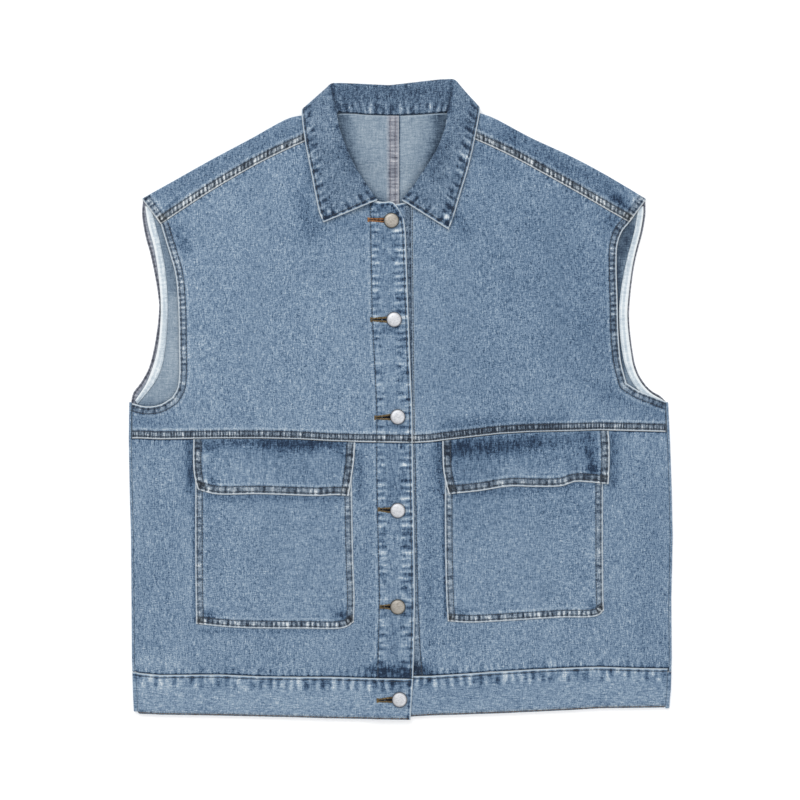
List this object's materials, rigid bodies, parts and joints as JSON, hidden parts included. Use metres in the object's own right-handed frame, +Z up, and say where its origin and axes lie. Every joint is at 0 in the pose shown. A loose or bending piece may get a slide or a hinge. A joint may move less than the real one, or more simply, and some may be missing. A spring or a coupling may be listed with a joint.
{
  "type": "denim vest",
  "caption": "Sleeveless button-front denim vest with a folded collar, flap chest pockets and a hem band, laid flat on its back",
  "frame": {"origin": "under the middle of the vest, on the surface that it lies on", "axes": "+Z up from that surface, +Y from the hem to the collar, +X from the wearer's right side to the left"},
  "size_m": [0.5993, 0.7048, 0.0136],
  "materials": {
    "denim": "stone-washed indigo denim, worn pale along its edges and seams",
    "tape": "white cotton twill tape",
    "button_metal": "worn nickel-plated tack buttons"
  },
  "bodies": {
    "root": {"back_right": "denim", "front_upper_right": "denim", "front_lower_right": "denim", "hem_band_right": "denim", "pocket_bag_right": "denim", "pocket_flap_right": "denim", "back_left": "denim", "front_upper_left": "denim", "front_lower_left": "denim", "hem_band_left": "denim", "pocket_bag_left": "denim", "pocket_flap_left": "denim", "hem_band_back": "denim", "collar": "denim", "armhole_tape_right": "tape", "armhole_tape_left": "tape", "button_1": "button_metal", "button_2": "button_metal", "button_3": "button_metal", "button_4": "button_metal", "button_5": "button_metal", "button_6": "button_metal"}
  },
  "joints": []
}
